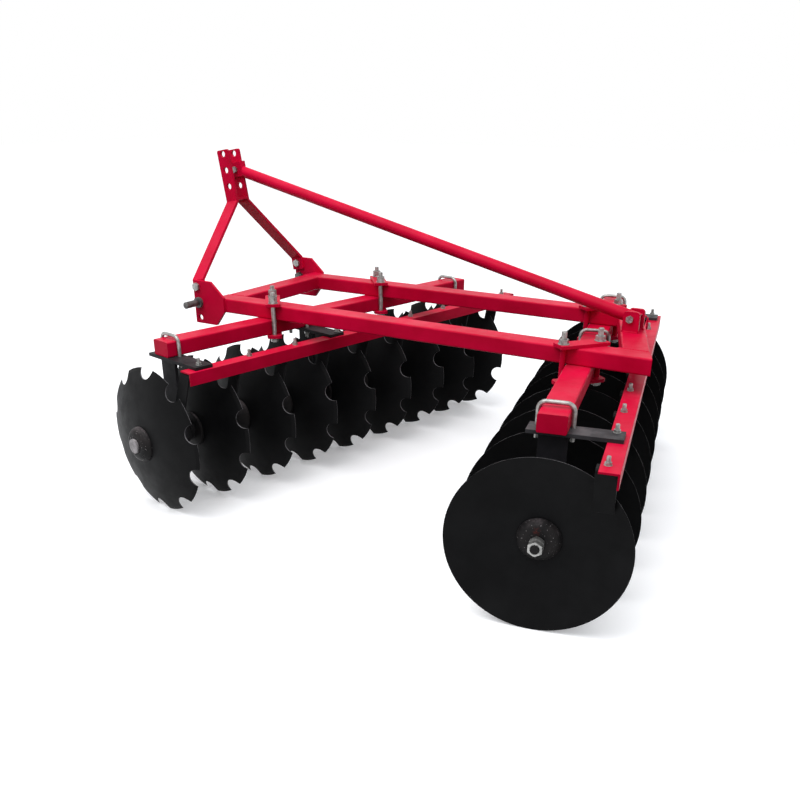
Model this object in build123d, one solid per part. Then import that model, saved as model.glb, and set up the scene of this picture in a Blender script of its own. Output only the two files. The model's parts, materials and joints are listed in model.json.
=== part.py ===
from build123d import *
import os
from math import atan2, copysign, cos, degrees, radians, sin, sqrt, tan

# Mounted offset disc harrow: welded tube frame, A mast, two disc gangs that turn on plain bearings.
# Machine axes: +X right, +Y forward, +Z up, ground at zero, Y zero at the front face of the frame.

# Tube stock
tube_width = 90.0
tube_height = 58.0
tube_wall = 5.0
tube_corner = 6.0

# Main frame
frame_width = 706.0
frame_top = 703.0
left_beam_length = 1850.0
right_beam_length = 1610.0

# Hitch plates
plate_thickness = 12.0
plate_front = 108.0
plate_rear = -54.0
plate_bottom = 588.0
plate_top = 768.0
plate_shoulder = 14.0
plate_heel = -6.0
plate_waist_low = 648.0
plate_waist_high = 707.0
plate_round = 5.0
hitch_hole_y = 82.0
pin_hole_z = 677.0
spare_hole_z = 612.0
spare_hole_radius = 12.4

# Lower link pins
pin_radius = 14.0
pin_reach = 86.0
pin_collar_radius = 22.0
pin_collar_length = 12.0
pin_stem_radius = 12.0
pin_nut_flats = 36.0
pin_nut_length = 19.0
pin_stem_tail = 6.0
pin_cross_hole_radius = 5.0
pin_cross_hole_inset = 12.0
pin_lead = 2.5

# Mast
mast_lean = 9.7
mast_foot_y = 88.0
mast_foot_z = 742.0
mast_foot_drop = 30.0
mast_foot_rise = 28.0
mast_bend_rise = 318.0
mast_height = 530.0
mast_gap = 60.0
mast_bar_thickness = 12.0
mast_bar_width = 60.0
mast_bend_radius = 4.0
mast_top_round = 8.0
link_hole_radius = 12.9
link_hole_pitch = 66.5
link_hole_top = 513.0
mast_bolt_radius = 10.0
spacer_above_bend = 7.0
spacer_thickness = 10.0

# Mast brace
brace_radius = 23.0
brace_wall = 4.0
brace_from_rear_edge = 54.0
brace_rear_rise = 47.0
brace_rear_tail = 26.0
clevis_height = 62.0
clevis_thickness = 10.0
clevis_front = 24.0
clevis_round = 6.0
lug_gap = 50.0
lug_thickness = 12.0
lug_front = 26.0
lug_back = 34.0
lug_round = 14.0
lug_height = 74.0
brace_bolt_radius = 8.0

# Gangs
gang_beam_length = 1756.0
front_beam_start = -866.0
rear_beam_start = -888.0
front_gang_angle = 12.0
rear_gang_angle = -12.0
front_gang_y = -360.0
rear_gang_clear = 28.0
front_beam_ahead = 22.0
rear_beam_ahead = 0.0

# Discs
disc_count = 9
disc_diameter = 560.0
disc_pitch = 230.0
disc_thickness = 4.0
disc_dish = 58.0
disc_flat_radius = 70.0
disc_bevel = 12.0
disc_edge = 1.5
notch_count = 10
notch_radius = 37.0
notch_depth = 38.0
notch_phase = 35.4
front_first_rim = -944.0
rear_first_rim = -1012.0

# Axle stack
axle_side = 36.0
axle_thread_radius = 14.0
square_clearance = 0.4
journal_radius = 30.0
journal_clearance = 0.05
spool_flange_radius = 68.0
spool_flange_length = 9.0
spool_waist_radius = 36.0
spool_bell_length = 46.0
spool_bell_share = 0.45
spool_collar = 10.0
washer_length = 30.0
washer_rim = 5.0
washer_cap_radius = 32.0
washer_bulge = 6.0
axle_nut_flats = 42.0
axle_nut_length = 22.0
axle_nut_count = 2
axle_nut_gap = 1.0
axle_tail = 2.0
axle_head_radius = 28.0
axle_head_length = 8.0

# Hangers and bearings
front_hanger_shift = 39.0
rear_hanger_shift = 0.0
hanger_thickness = 12.0
hanger_top_half = 44.0
hanger_eye_radius = 66.0
bearing_length = 70.0
bearing_radius = 44.0
bearing_seat_gap = 0.2
bearing_flange_radius = 58.0
bearing_flange_length = 9.0
bearing_end_gap = 6.0
bar_width = 74.0
front_bar_shifts = (15.0, -12.0, 27.0)
rear_bar_shifts = (3.0, 3.0, 3.0)
bar_thickness = 12.0
bar_past_beam = 33.0
bar_rear = -203.0
bar_clamp_gap = 8.0

# U bolts
u_bolt_radius = 7.0
u_bolt_bend = 24.0
u_bolt_side_gap = 1.5
u_bolt_crown_gap = 8.0
u_bolt_tail = 30.0
front_u_shifts = (13.0, -14.0, 20.0)
rear_u_shifts = (18.0, 18.0, 18.0)
u_nut_flats = 22.0
u_nut_length = 11.0

# Clamps
clamp_thickness = 12.0
clamp_width = 60.0
clamp_end = 22.0
clamp_point = 10.0
clamp_bolt_radius = 9.0
clamp_side_gap = 1.5
clamp_bolt_top = 44.0
clamp_bolt_bottom = 19.0
clamp_nut_flats = 30.0
clamp_nut_length = 15.0

# Scrapers
angle_flange = 58.0
angle_drop = 47.0
angle_thickness = 6.0
angle_front = -158.0
front_angle_length = 1960.0
rear_angle_length = 1940.0
front_angle_start = -907.0
rear_angle_start = -1096.0
front_scraper_bolt = 48.0
rear_scraper_bolt = 26.0
scraper_bolt_radius = 6.0
scraper_bolt_rise = 26.0
scraper_nut_flats = 19.0
scraper_nut_length = 10.0
scraper_thickness = 6.0
scraper_width = 60.0
scraper_drop = 150.0
front_scraper_bend = 40.0
front_scraper_tip = 4.0
rear_scraper_bend = 58.0
rear_scraper_tip = 1.0
scraper_foot_end = 16.0
scraper_bend_radius = 10.0
scraper_v = -178.0

# Fasteners, as shares of the bolt radius
bolt_flats_share = 3.0
bolt_head_share = 1.3
bolt_nut_share = 1.6
bolt_tail_share = 2.4
fastener_gap = 0.3

# Values that follow from the sizes above
half_width = frame_width / 2
side_centre = half_width - tube_width / 2
rear_slope = (left_beam_length - right_beam_length) / frame_width
rear_angle = degrees(atan2(left_beam_length - right_beam_length, frame_width))
gang_top = frame_top - tube_height
gang_bottom = gang_top - tube_height
axle_z = disc_diameter / 2
square_side = axle_side + 2 * square_clearance
bar_top = gang_bottom
bar_bottom = bar_top - bar_thickness
angle_top = bar_bottom
disc_radius = disc_diameter / 2
disc_reach = disc_dish + disc_thickness
pin_root = half_width + plate_thickness
inner = half_width - tube_width
rear_depth = tube_width / cos(radians(rear_angle))
u_leg_out = tube_width / 2 + u_bolt_radius + u_bolt_side_gap
scraper_hole = scraper_bolt_radius + fastener_gap
dish_centre = ((disc_radius ** 2 - disc_flat_radius ** 2) / disc_dish + disc_dish) / 2
dish_sphere = sqrt(dish_centre ** 2 + disc_flat_radius ** 2)
mast_plane = Plane(
    origin=(0, mast_foot_y, mast_foot_z),
    x_dir=(1, 0, 0),
    z_dir=(0, -cos(radians(mast_lean)), sin(radians(mast_lean))),
)
nodes = {}


# Loose solids that make up one node
def group(shapes):
    return Compound([solid for shape in shapes for solid in shape.solids()])


# Round and hexagon stock along a chosen axis
def rod(start, direction, radius, length):
    return Solid.make_cylinder(radius, length, Plane(origin=start, z_dir=direction))


def hexagon(start, direction, flats, length, hole=0.0):
    base = Plane(origin=start, z_dir=direction)
    outline = RegularPolygon(flats / 2, 6, major_radius=False)
    if hole:
        outline = outline - Circle(hole)
    return extrude(base * outline, length, dir=direction)


# Hollow welded tube from its plan outline, closed at both ends
def tube_beam(corners, top):
    plan = make_face(Polyline(*corners, close=True))
    outer = extrude(plan, -tube_height)
    outer = fillet(outer.edges().sort_by(SortBy.LENGTH)[-4:], tube_corner)
    room = extrude(offset(plan, -tube_wall, kind=Kind.INTERSECTION), -(tube_height - 2 * tube_wall))
    return Pos(0, 0, top) * (outer - Pos(0, 0, -tube_wall) * room)


# Main frame
def rear_edge(x):
    return -(left_beam_length + right_beam_length) / 2 + rear_slope * x


left_plan = [
    (-half_width, 0),
    (-inner, 0),
    (-inner, rear_edge(-inner)),
    (-half_width, rear_edge(-half_width)),
]
right_plan = [
    (half_width, 0),
    (inner, 0),
    (inner, rear_edge(inner)),
    (half_width, rear_edge(half_width)),
]
front_plan = [(-inner, 0), (inner, 0), (inner, -tube_width), (-inner, -tube_width)]
nodes["left_side_beam"] = tube_beam(left_plan, frame_top)
nodes["right_side_beam"] = tube_beam(right_plan, frame_top)
nodes["front_cross_beam"] = tube_beam(front_plan, frame_top)
nodes["rear_cross_beam"] = tube_beam(
    [
        (-inner, rear_edge(-inner)),
        (inner, rear_edge(inner)),
        (inner, rear_edge(inner) + rear_depth),
        (-inner, rear_edge(-inner) + rear_depth),
    ],
    frame_top,
)

# Hitch plates with the pin hole, the spare hole and the mast bolt hole
plate_outline = Polyline(
    (plate_front, plate_bottom),
    (plate_front, plate_top),
    (plate_shoulder, plate_top),
    (plate_rear, plate_waist_high),
    (plate_rear, plate_waist_low),
    (plate_heel, plate_bottom),
    close=True,
)
plate_face = make_face(plate_outline)
plate_face = fillet(plate_face.vertices(), plate_round)
plate_face = plate_face - Pos(hitch_hole_y, pin_hole_z) * Circle(pin_stem_radius + fastener_gap)
plate_face = plate_face - Pos(hitch_hole_y, spare_hole_z) * Circle(spare_hole_radius)
plate_face = plate_face - Pos(mast_foot_y, mast_foot_z) * Circle(mast_bolt_radius + fastener_gap)
hitch_plate = extrude(Plane.YZ * plate_face, plate_thickness)
nodes["right_hitch_plate"] = Pos(half_width, 0, 0) * hitch_plate
nodes["left_hitch_plate"] = Pos(-half_width - plate_thickness, 0, 0) * hitch_plate

# Lower link pins, collar against the plate and nut inside it
link_pin = rod((pin_root, hitch_hole_y, pin_hole_z), (1, 0, 0), pin_collar_radius, pin_collar_length)
pin_shank = rod((pin_root, hitch_hole_y, pin_hole_z), (1, 0, 0), pin_radius, pin_reach)
pin_shank = chamfer(pin_shank.edges().filter_by(GeomType.CIRCLE).sort_by(Axis.X)[-1:], pin_lead)
pin_stem_length = plate_thickness + pin_nut_length + pin_stem_tail
pin_stem = rod((pin_root, hitch_hole_y, pin_hole_z), (-1, 0, 0), pin_stem_radius, pin_stem_length)
pin_nut = hexagon((half_width, hitch_hole_y, pin_hole_z), (-1, 0, 0), pin_nut_flats, pin_nut_length)
cross_hole = rod(
    (pin_root + pin_reach - pin_cross_hole_inset, hitch_hole_y, pin_hole_z - pin_collar_radius),
    (0, 0, 1),
    pin_cross_hole_radius,
    2 * pin_collar_radius,
)
link_pin = link_pin + pin_shank + pin_stem + pin_nut - cross_hole
nodes["right_link_pin"] = link_pin
nodes["left_link_pin"] = mirror(link_pin, Plane.YZ)

# Mast: two bent flat bars with the top link holes
bar_out = half_width
bar_in = mast_gap / 2 + mast_bar_thickness
mast_path = FilletPolyline(
    (bar_out, -mast_foot_drop),
    (bar_out, mast_foot_rise),
    (bar_in, mast_bend_rise),
    (bar_in, mast_height),
    radius=mast_bend_radius,
)
mast_face = make_face(offset(mast_path, mast_bar_thickness, side=Side.LEFT, closed=True))
mast_bar = extrude(mast_plane * mast_face, mast_bar_width / 2, both=True)
mast_bar = fillet(mast_bar.edges().filter_by(Axis.X).sort_by(Axis.Z)[-2:], mast_top_round)


def across(rise, radius):
    middle = mast_plane.from_local_coords((0, rise, 0))
    return rod((-frame_width, middle.Y, middle.Z), (1, 0, 0), radius, 2 * frame_width)


# The right bar carries the brace bolt where the left bar has its middle link hole
brace_rise = link_hole_top - link_hole_pitch
brace_hole = across(brace_rise, brace_bolt_radius + fastener_gap)
mast_bar = mast_bar - across(link_hole_top, link_hole_radius)
mast_bar = mast_bar - across(brace_rise - link_hole_pitch, link_hole_radius)
mast_bar = mast_bar - across(0, mast_bolt_radius + fastener_gap)
nodes["right_mast_bar"] = mast_bar - brace_hole
nodes["left_mast_bar"] = mirror(mast_bar, Plane.YZ) - across(brace_rise, link_hole_radius)

# Flat spacer across the gap, just above the bend
spacer_rise = mast_bend_rise + spacer_above_bend
spacer = Pos(0, spacer_rise, 0) * Box(mast_gap, spacer_thickness, mast_bar_width)
nodes["mast_spacer"] = mast_plane * spacer


# Through bolt along X with a head on the left and a nut on the right
def cross_bolt(left, right, y, z, radius):
    flats = bolt_flats_share * radius
    shank = rod((left, y, z), (1, 0, 0), radius, right - left + bolt_tail_share * radius)
    head = hexagon((left, y, z), (-1, 0, 0), flats, bolt_head_share * radius)
    nut = hexagon((right, y, z), (1, 0, 0), flats, bolt_nut_share * radius)
    return shank + head + nut


nodes["mast_foot_bolts"] = group(
    [
        cross_bolt(-pin_root, -half_width + mast_bar_thickness, mast_foot_y, mast_foot_z, mast_bolt_radius),
        cross_bolt(half_width - mast_bar_thickness, pin_root, mast_foot_y, mast_foot_z, mast_bolt_radius),
    ]
)

# Clevis that straddles the right mast bar
clevis_wide = mast_bar_thickness + 2 * clevis_thickness
clevis_middle = mast_gap / 2 + mast_bar_thickness / 2
clevis_back = mast_bar_width / 2 + clevis_thickness
clevis_long = clevis_back + clevis_front
clevis = Pos(0, 0, clevis_back - clevis_long / 2) * Box(clevis_wide, clevis_height, clevis_long)
clevis = fillet(clevis.edges().filter_by(Axis.Y).sort_by(Axis.Z)[-2:], clevis_round)
clevis_slot = Pos(0, 0, -clevis_thickness) * Box(mast_bar_thickness, 2 * clevis_height, 2 * clevis_back)
clevis = clevis - Pos(0, 0, -clevis_front) * clevis_slot
clevis = clevis - Box(mast_bar_thickness, clevis_height, mast_bar_width)
clevis = mast_plane * Pos(clevis_middle, brace_rise, 0) * clevis
nodes["brace_clevis"] = clevis - brace_hole
brace_top = mast_plane.from_local_coords((clevis_middle, brace_rise, 0))
clevis_left = clevis_middle - clevis_wide / 2
clevis_right = clevis_middle + clevis_wide / 2
nodes["brace_front_bolt"] = cross_bolt(
    clevis_left, clevis_right, brace_top.Y, brace_top.Z, brace_bolt_radius
)

# Brace pipe from the clevis to the lugs on the rear cross beam
brace_rear_y = rear_edge(0) + brace_from_rear_edge
brace_rear_z = frame_top + brace_rear_rise
brace_line = Vector(0, brace_rear_y, brace_rear_z) - brace_top
brace_plane = Plane(origin=brace_top, z_dir=brace_line)
pipe_ring = Circle(brace_radius) - Circle(brace_radius - brace_wall)
pipe = brace_plane * extrude(pipe_ring, brace_line.length + brace_rear_tail)
front_cut = Pos(clevis_middle, brace_rise, 0) * Box(mast_gap, 2 * clevis_height, 2 * clevis_back)
brace_rear_hole = rod(
    (-frame_width, brace_rear_y, brace_rear_z), (1, 0, 0), brace_bolt_radius + fastener_gap, 2 * frame_width
)
nodes["mast_brace"] = pipe - mast_plane * front_cut - brace_rear_hole

lug_wide = lug_front + lug_back
lug_outline = Pos(brace_rear_y + (lug_front - lug_back) / 2, frame_top + lug_height / 2)
lug_outline = lug_outline * Rectangle(lug_wide, lug_height)
lug_face = fillet(lug_outline.vertices().sort_by(Axis.Y)[-2:], lug_round)
lug_face = lug_face - Pos(brace_rear_y, brace_rear_z) * Circle(brace_bolt_radius + fastener_gap)
lug = extrude(Plane.YZ * lug_face, lug_thickness)
lug_out = lug_gap / 2 + lug_thickness
nodes["brace_lugs"] = group([Pos(lug_gap / 2, 0, 0) * lug, Pos(-lug_out, 0, 0) * lug])
nodes["brace_rear_bolt"] = cross_bolt(-lug_out, lug_out, brace_rear_y, brace_rear_z, brace_bolt_radius)


# Square hole on the axle line, right through a piece that starts at zero
def axle_hole(length):
    return Pos(0, 0, length / 2) * Box(square_side, square_side, 2 * length)


# Dished disc: flat hub, spherical bowl and ground rim, its hollow side towards +Z
def bowl(radius):
    return dish_centre - sqrt(dish_sphere ** 2 - radius ** 2)


def disc_solid(notched):
    middle = (disc_flat_radius + disc_radius) / 2
    grind = disc_radius - disc_bevel
    lip = disc_reach
    outline = [
        Line((0, 0), (disc_flat_radius, 0)),
        ThreePointArc((disc_flat_radius, 0), (middle, bowl(middle)), (grind, bowl(grind))),
        Line((grind, bowl(grind)), (disc_radius, lip - disc_edge)),
        Line((disc_radius, lip - disc_edge), (disc_radius, lip)),
        ThreePointArc(
            (disc_radius, lip),
            (middle, bowl(middle) + disc_thickness),
            (disc_flat_radius, disc_thickness),
        ),
        Line((disc_flat_radius, disc_thickness), (0, disc_thickness)),
        Line((0, disc_thickness), (0, 0)),
    ]
    solid = revolve(Plane.XZ * make_face(outline), Axis.Z)
    if notched:
        centre = disc_radius - notch_depth + notch_radius
        notch = extrude(Pos(centre, 0) * Circle(notch_radius), lip)
        turns = PolarLocations(0, notch_count, notch_phase)
        solid = solid - [turn * notch for turn in turns]
    return solid - axle_hole(lip)


# Spool casting along its axle: a bell mouth at a disc, a plain collar at a bearing
def spool_solid(length, start_radius, end_radius):
    bell = min(spool_bell_length, spool_bell_share * length)
    lip = spool_flange_length
    outline = Polyline(
        (0, 0),
        (start_radius, 0),
        (start_radius, lip),
        (spool_waist_radius, bell),
        (spool_waist_radius, length - bell),
        (end_radius, length - lip),
        (end_radius, length),
        (0, length),
        close=True,
    )
    solid = revolve(Plane.XZ * make_face(outline), Axis.Z)
    return solid - axle_hole(length)


# Domed end washer: broad against the disc, narrow under the axle head or nut
def end_washer():
    bulge_radius = (spool_flange_radius + washer_cap_radius) / 2 + washer_bulge
    bulge_height = (washer_rim + washer_length) / 2 + washer_bulge
    outline = [
        Line((0, 0), (spool_flange_radius, 0)),
        Line((spool_flange_radius, 0), (spool_flange_radius, washer_rim)),
        ThreePointArc(
            (spool_flange_radius, washer_rim),
            (bulge_radius, bulge_height),
            (washer_cap_radius, washer_length),
        ),
        Line((washer_cap_radius, washer_length), (0, washer_length)),
        Line((0, washer_length), (0, 0)),
    ]
    return revolve(Plane.XZ * make_face(outline), Axis.Z) - axle_hole(washer_length)


disc_plain = disc_solid(False)
disc_notched = disc_solid(True)


# Middle of the gap that follows disc i, along the axle line
def gap_middle(first_rim, hollow, i):
    return first_rim + (i + 0.5) * disc_pitch - hollow * (disc_dish + disc_thickness / 2)


# Clamp bolts lie on the diagonal of the two crossing beams, just clear of both
def clamp_swing(gang_angle):
    return copysign(45 - abs(gang_angle) / 2, gang_angle)


def clamp_spread(gang_angle):
    side = tube_width / 2 + clamp_bolt_radius + clamp_side_gap
    return side / cos(radians(clamp_swing(gang_angle)))


# End hangers hang in the outer gaps, the third beside the clamp on the discs' back side
def hanger_gaps(first_rim, hollow, gang_angle, shift):
    lean = radians(45 + abs(gang_angle) / 2)
    clamp_half = (clamp_spread(gang_angle) + clamp_end) * cos(lean) + clamp_width / 2 * sin(lean)
    room = side_centre / cos(radians(gang_angle)) - clamp_half - bar_clamp_gap - bar_width / 2
    last = disc_count - 2
    inside = [i for i in range(1, last) if abs(gap_middle(first_rim, hollow, i) + shift) <= room]
    return [0, inside[0] if hollow > 0 else inside[-1], last]


front_gaps = hanger_gaps(front_first_rim, 1, front_gang_angle, front_hanger_shift + front_bar_shifts[1])
rear_gaps = hanger_gaps(rear_first_rim, -1, rear_gang_angle, rear_hanger_shift + rear_bar_shifts[1])

# The rear gang stands ahead of the rear cross beam by the reach of its middle U bolt
rear_turn = radians(-rear_gang_angle)
rear_u_bolt = gap_middle(rear_first_rim, -1, rear_gaps[1]) + rear_hanger_shift
rear_u_bolt = rear_u_bolt + rear_bar_shifts[1] + rear_u_shifts[1]
rear_u_x = rear_u_bolt * cos(rear_turn)
rear_u_reach = (u_leg_out + u_bolt_radius - rear_beam_ahead) / cos(rear_turn)
rear_gang_y = rear_edge(rear_u_x) + rear_depth + rear_gang_clear + rear_u_reach - rear_u_x * tan(rear_turn)


# One gang: everything is laid out along u, the axle line, then turned to the gang angle
def build_gang(
    name,
    gang_y,
    gang_angle,
    first_rim,
    hollow,
    disc,
    gaps,
    hanger_shift,
    bar_shifts,
    u_shifts,
    beam_start,
    ahead,
    angle_start,
    angle_length,
    bolt_from_gap,
    bend,
    tip,
):
    turn = radians(-gang_angle)
    place = Location((0, gang_y, 0), (0, 0, -gang_angle))
    along = Rot(0, 90, 0)
    disc_turn = Rot(0, 90 * hollow, 0)
    backs = [first_rim + i * disc_pitch - hollow * disc_reach for i in range(disc_count)]
    faces = [u + hollow * disc_thickness for u in backs]
    lows = [min(a, b) for a, b in zip(backs, faces)]
    highs = [max(a, b) for a, b in zip(backs, faces)]
    middles = [gap_middle(first_rim, hollow, i) for i in range(-1, disc_count)]
    stations = [gap_middle(first_rim, hollow, i) + hanger_shift for i in gaps]
    bolt_us = [u + bolt_from_gap for u in (middles[1:] if hollow > 0 else middles[:-1])]
    clear_half = bearing_length / 2 + bearing_end_gap
    collar = journal_radius + spool_collar

    # Turning stack
    discs = [Pos(u, 0, axle_z) * disc_turn * disc for u in backs]
    spools = []
    for i in range(disc_count - 1):
        start = highs[i]
        end = lows[i + 1]
        if i in gaps:
            left_end = stations[gaps.index(i)] - clear_half
            right_start = stations[gaps.index(i)] + clear_half
            left = spool_solid(left_end - start, spool_flange_radius, collar)
            spools.append(Pos(start, 0, axle_z) * along * left)
            right = spool_solid(end - right_start, collar, spool_flange_radius)
            spools.append(Pos(right_start, 0, axle_z) * along * right)
        else:
            whole = spool_solid(end - start, spool_flange_radius, spool_flange_radius)
            spools.append(Pos(start, 0, axle_z) * along * whole)
    back_end = backs[0] if hollow > 0 else backs[-1]
    face_end = faces[-1] if hollow > 0 else faces[0]
    washers = [
        Pos(back_end, 0, axle_z) * Rot(0, -90 * hollow, 0) * end_washer(),
        Pos(face_end, 0, axle_z) * Rot(0, 90 * hollow, 0) * end_washer(),
    ]
    head_u = back_end - hollow * washer_length
    nut_u = face_end + hollow * washer_length
    axle = Pos((head_u + nut_u) / 2, 0, axle_z) * Box(abs(nut_u - head_u), axle_side, axle_side)
    for station in stations:
        axle = axle + rod((station - clear_half, 0, axle_z), (1, 0, 0), journal_radius, 2 * clear_half)
    axle = axle + rod((head_u, 0, axle_z), (-hollow, 0, 0), axle_head_radius, axle_head_length)
    thread = axle_nut_count * axle_nut_length + axle_tail
    axle = axle + rod((nut_u, 0, axle_z), (hollow, 0, 0), axle_thread_radius, thread)
    nuts = [
        hexagon(
            (nut_u + hollow * i * axle_nut_length, 0, axle_z),
            (hollow, 0, 0),
            axle_nut_flats,
            axle_nut_length - axle_nut_gap,
            axle_thread_radius,
        )
        for i in range(axle_nut_count)
    ]
    turning = {"axle": [axle], "discs": discs, "spools": spools, "end_washers": washers, "axle_nuts": nuts}

    # Beam, hangers and bearings
    beam_end = beam_start + gang_beam_length
    beam_front = ahead + tube_width / 2
    beam_rear = ahead - tube_width / 2
    beam_plan = [
        (beam_start, beam_rear),
        (beam_end, beam_rear),
        (beam_end, beam_front),
        (beam_start, beam_front),
    ]
    beam = tube_beam(beam_plan, gang_top)
    hangers = []
    bearings = []
    bars = []
    u_bolts = []
    bar_front = beam_front + bar_past_beam
    leg_low = bar_bottom - u_bolt_tail
    crown = gang_top + u_bolt_crown_gap + u_bolt_radius
    for station, bar_shift, u_shift in zip(stations, bar_shifts, u_shifts):
        web = Pos(0, (bar_bottom + axle_z) / 2) * Rectangle(2 * hanger_top_half, bar_bottom - axle_z)
        face = web + Pos(0, axle_z) * Circle(hanger_eye_radius)
        face = face - Pos(0, axle_z) * Circle(bearing_radius + bearing_seat_gap)
        plate = extrude(Plane.YZ * face, hanger_thickness / 2, both=True)
        hangers.append(Pos(station, 0, 0) * plate)
        sleeve = rod((station - bearing_length / 2, 0, axle_z), (1, 0, 0), bearing_radius, bearing_length)
        flange_at = station + hanger_thickness / 2
        sleeve = sleeve + rod((flange_at, 0, axle_z), (1, 0, 0), bearing_flange_radius, bearing_flange_length)
        bore_radius = journal_radius + journal_clearance
        bore = rod((station - bearing_length, 0, axle_z), (1, 0, 0), bore_radius, 2 * bearing_length)
        bearings.append(sleeve - bore)
        bar_u = station + bar_shift
        bar = Pos(bar_u, (bar_front + bar_rear) / 2, (bar_top + bar_bottom) / 2)
        bar = bar * Box(bar_width, bar_front - bar_rear, bar_thickness)
        u_leg = bar_u + u_shift
        legs = (ahead + u_leg_out, ahead - u_leg_out)
        for leg in legs:
            bar = bar - rod((u_leg, leg, bar_bottom), (0, 0, 1), u_bolt_radius + fastener_gap, bar_thickness)
        for bolt_u in bolt_us:
            bar = bar - rod((bolt_u, scraper_v, bar_bottom), (0, 0, 1), scraper_hole, bar_thickness)
        bars.append(bar)
        path = FilletPolyline(
            (u_leg, legs[0], leg_low),
            (u_leg, legs[0], crown),
            (u_leg, legs[1], crown),
            (u_leg, legs[1], leg_low),
            radius=u_bolt_bend,
        )
        wire = sweep(Plane((u_leg, legs[0], leg_low)) * Circle(u_bolt_radius), path=path)
        for leg in legs:
            wire = wire + hexagon((u_leg, leg, bar_bottom), (0, 0, -1), u_nut_flats, u_nut_length)
        u_bolts.append(wire)

    # Clamps where the gang beam passes under each side beam
    tops = []
    bottoms = []
    bolts = []
    spread = clamp_spread(gang_angle)
    plate_length = 2 * (spread + clamp_end)
    bolt_holes = GridLocations(2 * spread, 0, 2, 1) * Circle(clamp_bolt_radius + fastener_gap)
    top_face = Rectangle(plate_length, clamp_width) - bolt_holes
    bottom_face = Rectangle(plate_length, clamp_width)
    bottom_face = chamfer(bottom_face.vertices(), clamp_point) - bolt_holes
    for x in (-side_centre, side_centre):
        centre = place * Pos((x + ahead * sin(turn)) / cos(turn), ahead, 0)
        at = Pos(centre.position.X, centre.position.Y, 0) * Rot(0, 0, clamp_swing(gang_angle))
        tops.append(at * Pos(0, 0, frame_top) * extrude(top_face, clamp_thickness))
        bottoms.append(at * Pos(0, 0, gang_bottom) * extrude(bottom_face, -clamp_thickness))
        for end in (spread, -spread):
            under = gang_bottom - clamp_thickness
            seat = frame_top + clamp_thickness
            low = under - clamp_bolt_bottom
            high = seat + clamp_bolt_top
            bolt = rod((end, 0, low), (0, 0, 1), clamp_bolt_radius, high - low)
            bolt = bolt + hexagon((end, 0, seat), (0, 0, 1), clamp_nut_flats, clamp_nut_length)
            bolt = bolt + hexagon((end, 0, under), (0, 0, -1), clamp_nut_flats, clamp_nut_length)
            bolts.append(at * bolt)

    # Scraper angle, blades and bolts
    angle_face = Polyline(
        (angle_front, angle_top),
        (angle_front - angle_flange, angle_top),
        (angle_front - angle_flange, angle_top - angle_drop),
        (angle_front - angle_flange + angle_thickness, angle_top - angle_drop),
        (angle_front - angle_flange + angle_thickness, angle_top - angle_thickness),
        (angle_front, angle_top - angle_thickness),
        close=True,
    )
    angle = Pos(angle_start, 0, 0) * extrude(Plane.YZ * make_face(angle_face), angle_length)
    scrapers = []
    scraper_bolts = []
    foot_top = angle_top - angle_thickness
    foot_low = foot_top - scraper_thickness
    for i in range(disc_count):
        rim_u = first_rim + i * disc_pitch
        bolt_u = bolt_us[i]
        path = FilletPolyline(
            (bolt_u + scraper_foot_end, foot_top),
            (rim_u + hollow * bend, foot_top),
            (rim_u - hollow * tip, foot_top - scraper_drop),
            radius=scraper_bend_radius,
        )
        strip = make_face(offset(path, scraper_thickness, side=Side.LEFT, closed=True))
        blade = Pos(0, scraper_v, 0) * extrude(Plane.XZ * strip, scraper_width / 2, both=True)
        bolt_hole = rod((bolt_u, scraper_v, foot_low), (0, 0, 1), scraper_hole, angle_top - foot_low)
        scrapers.append(blade - bolt_hole)
        angle = angle - bolt_hole
        on_bar = any(abs(bolt_u - s - shift) < bar_width / 2 for s, shift in zip(stations, bar_shifts))
        seat = bar_top if on_bar else angle_top
        bolt_length = seat - foot_low + scraper_bolt_rise
        bolt = rod((bolt_u, scraper_v, foot_low), (0, 0, 1), scraper_bolt_radius, bolt_length)
        bolt = bolt + hexagon((bolt_u, scraper_v, seat), (0, 0, 1), scraper_nut_flats, scraper_nut_length)
        head = hexagon((bolt_u, scraper_v, foot_low), (0, 0, -1), scraper_nut_flats, scraper_nut_length)
        bolt = bolt + head
        scraper_bolts.append(bolt)

    still = {
        "gang_beam": [beam],
        "hangers": hangers,
        "bearings": bearings,
        "hanger_bars": bars,
        "u_bolts": u_bolts,
        "scraper_angle": [angle],
        "scrapers": scrapers,
        "scraper_bolts": scraper_bolts,
    }
    for part_name, solids in {**turning, **still}.items():
        nodes[name + "_" + part_name] = place * group(solids)
    nodes[name + "_clamp_tops"] = group(tops)
    nodes[name + "_clamp_bottoms"] = group(bottoms)
    nodes[name + "_clamp_bolts"] = group(bolts)


build_gang(
    "front",
    front_gang_y,
    front_gang_angle,
    front_first_rim,
    1,
    disc_notched,
    front_gaps,
    front_hanger_shift,
    front_bar_shifts,
    front_u_shifts,
    front_beam_start,
    front_beam_ahead,
    front_angle_start,
    front_angle_length,
    front_scraper_bolt,
    front_scraper_bend,
    front_scraper_tip,
)
build_gang(
    "rear",
    rear_gang_y,
    rear_gang_angle,
    rear_first_rim,
    -1,
    disc_plain,
    rear_gaps,
    rear_hanger_shift,
    rear_bar_shifts,
    rear_u_shifts,
    rear_beam_start,
    rear_beam_ahead,
    rear_angle_start,
    rear_angle_length,
    rear_scraper_bolt,
    rear_scraper_bend,
    rear_scraper_tip,
)

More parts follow.
